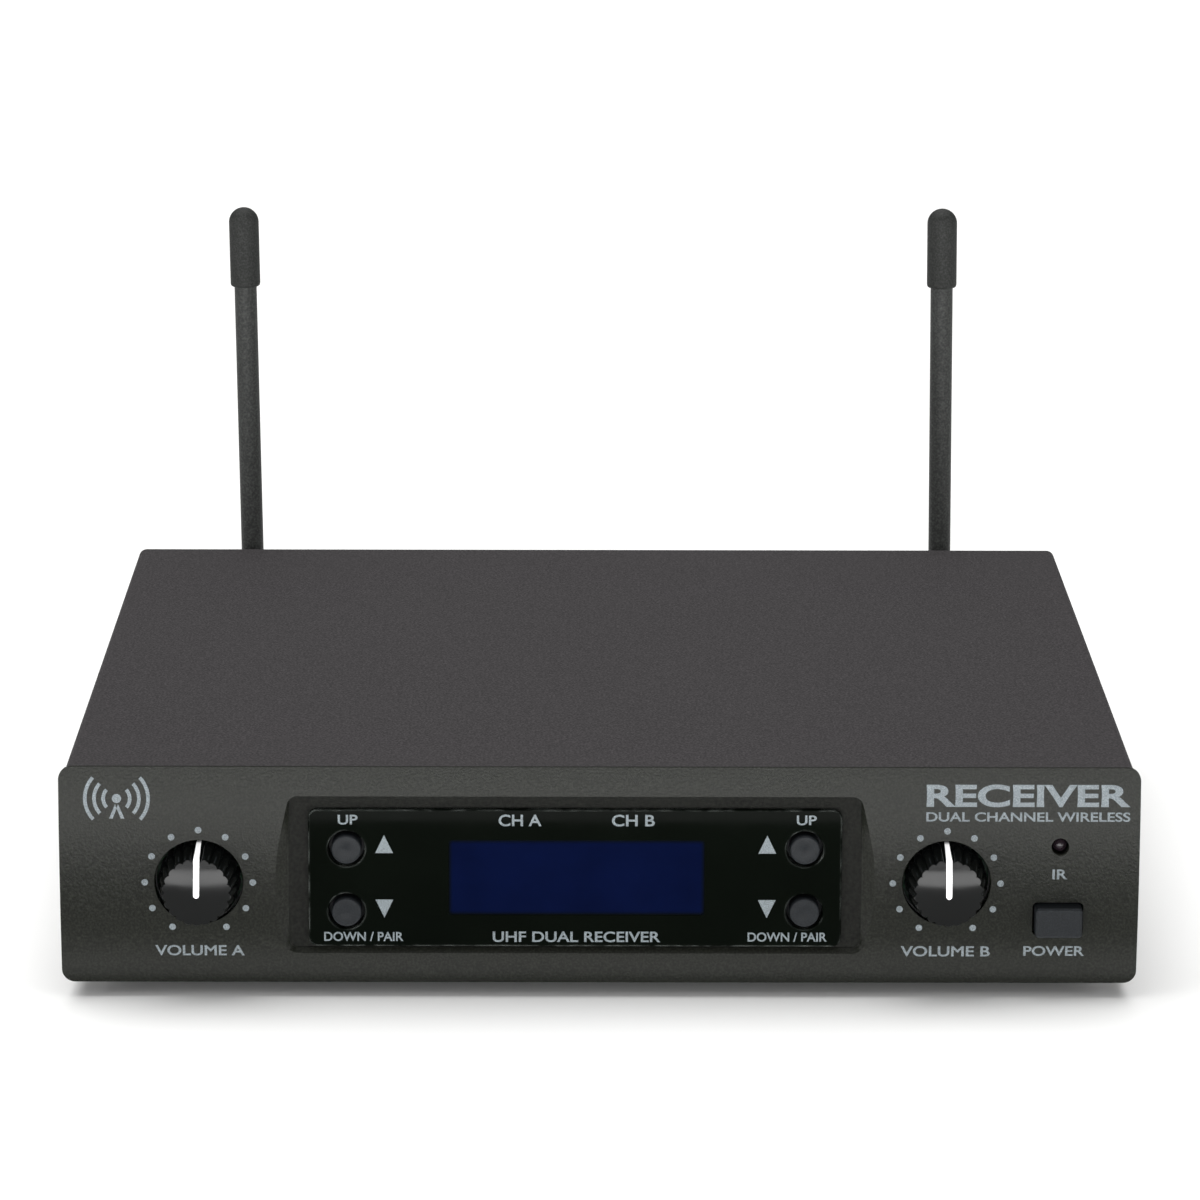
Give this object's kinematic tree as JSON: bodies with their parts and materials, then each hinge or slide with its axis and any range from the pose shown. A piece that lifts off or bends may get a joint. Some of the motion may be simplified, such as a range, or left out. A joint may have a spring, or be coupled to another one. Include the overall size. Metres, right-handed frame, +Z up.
{
  "type": "wireless microphone receiver",
  "caption": "Half-rack two-channel wireless microphone receiver with volume knobs, channel keys, a display window and folding rod antennas.",
  "frame": {"origin": "centre of the footprint, on the surface that the feet stand on", "axes": "+X to the right seen from the front, +Y from the front panel to the antennas, +Z up"},
  "size_m": [0.212, 0.2148, 0.1242],
  "materials": {
    "cover_paint": "fine satin paint",
    "panel_paint": "fine-grained satin",
    "bare_steel": "zinc plated",
    "black_screw": "black oxide",
    "smoked_acrylic": "polished",
    "key_plastic": "satin",
    "knob_plastic": "semi-gloss",
    "antenna_plastic": "satin",
    "rubber": "matte",
    "circuit_board": "solder mask",
    "black_plastic": "moulded",
    "display_glass": "polished",
    "sensor_resin": "clear-cast",
    "nickel": "plated",
    "ribbon_grey": "ribbed",
    "coax_brown": "smooth jacket"
  },
  "bodies": {
    "case": {"chassis_tray": "bare_steel", "rear_panel": "bare_steel", "top_cover": "cover_paint", "front_panel": "panel_paint", "display_lens": "smoked_acrylic", "control_board": "circuit_board", "main_board": "circuit_board", "ribbon_cable": "ribbon_grey", "foot_front_left": "rubber", "foot_front_right": "rubber", "foot_back_left": "rubber", "foot_back_right": "rubber", "cover_screw_front_left": "black_screw", "cover_screw_front_right": "black_screw", "cover_screw_back_left": "black_screw", "cover_screw_back_right": "black_screw", "volume_pot_a": "black_plastic", "volume_pot_b": "black_plastic", "up_switch_a": "black_plastic", "down_switch_a": "black_plastic", "up_switch_b": "black_plastic", "down_switch_b": "black_plastic", "power_switch": "black_plastic", "infrared_sensor": "sensor_resin", "display_frame": "bare_steel", "display_glass": "display_glass", "output_socket_a": "black_plastic", "output_pins_a": "nickel", "output_screw_a": "black_screw", "output_socket_b": "black_plastic", "output_pins_b": "nickel", "output_screw_b": "black_screw", "mix_output_jack": "black_plastic", "mix_output_nut": "nickel", "power_inlet": "black_plastic", "radio_shield_a": "bare_steel", "antenna_lead_a": "coax_brown", "antenna_socket_a": "nickel", "antenna_nut_a": "nickel", "radio_shield_b": "bare_steel", "antenna_lead_b": "coax_brown", "antenna_socket_b": "nickel", "antenna_nut_b": "nickel"},
    "knob_a": {"volume_knob_a": "knob_plastic", "volume_shaft_a": "nickel"},
    "knob_b": {"volume_knob_b": "knob_plastic", "volume_shaft_b": "nickel"},
    "key_up_a": {"up_button_a": "key_plastic"},
    "key_down_a": {"down_button_a": "key_plastic"},
    "key_up_b": {"up_button_b": "key_plastic"},
    "key_down_b": {"down_button_b": "key_plastic"},
    "power_key": {"power_button": "key_plastic"},
    "antenna_base_a": {"antenna_collar_a": "antenna_plastic", "antenna_pin_a": "nickel"},
    "antenna_whip_a": {"antenna_rod_a": "antenna_plastic", "antenna_cap_a": "rubber"},
    "antenna_base_b": {"antenna_collar_b": "antenna_plastic", "antenna_pin_b": "nickel"},
    "antenna_whip_b": {"antenna_rod_b": "antenna_plastic", "antenna_cap_b": "rubber"}
  },
  "joints": [
    {"name": "volume_turn_a", "type": "hinge", "parent": "case", "child": "knob_a", "pos_m": [-0.0787, -0.0997, 0.024], "axis": [0, 1, 0], "range_deg": [-150, 150]},
    {"name": "volume_turn_b", "type": "hinge", "parent": "case", "child": "knob_b", "pos_m": [0.0682, -0.0997, 0.024], "axis": [0, 1, 0], "range_deg": [-150, 150]},
    {"name": "key_press_up_a", "type": "slide", "parent": "case", "child": "key_up_a", "axis": [0, 1, 0], "range_m": [0, 0.0006], "stiffness_N_per_m": 400, "springref_m": -0.0005},
    {"name": "key_press_down_a", "type": "slide", "parent": "case", "child": "key_down_a", "axis": [0, 1, 0], "range_m": [0, 0.0006], "stiffness_N_per_m": 400, "springref_m": -0.0005},
    {"name": "key_press_up_b", "type": "slide", "parent": "case", "child": "key_up_b", "axis": [0, 1, 0], "range_m": [0, 0.0006], "stiffness_N_per_m": 400, "springref_m": -0.0005},
    {"name": "key_press_down_b", "type": "slide", "parent": "case", "child": "key_down_b", "axis": [0, 1, 0], "range_m": [0, 0.0006], "stiffness_N_per_m": 400, "springref_m": -0.0005},
    {"name": "power_press", "type": "slide", "parent": "case", "child": "power_key", "axis": [0, 1, 0], "range_m": [0, 0.0025], "stiffness_N_per_m": 300, "springref_m": -0.001},
    {"name": "antenna_swivel_a", "type": "hinge", "parent": "case", "child": "antenna_base_a", "pos_m": [-0.0796, 0.1028, 0.0352], "axis": [0, 1, 0], "range_deg": [-90, 45]},
    {"name": "antenna_tilt_a", "type": "hinge", "parent": "antenna_base_a", "child": "antenna_whip_a", "pos_m": [-0.0796, 0.1028, 0.0352], "axis": [-0.9999, 0, -0.014], "range_deg": [0, 90]},
    {"name": "antenna_swivel_b", "type": "hinge", "parent": "case", "child": "antenna_base_b", "pos_m": [0.0796, 0.1028, 0.0352], "axis": [0, 1, 0], "range_deg": [-45, 90]},
    {"name": "antenna_tilt_b", "type": "hinge", "parent": "antenna_base_b", "child": "antenna_whip_b", "pos_m": [0.0796, 0.1028, 0.0352], "axis": [-1, 0, -0.0087], "range_deg": [0, 90]}
  ]
}
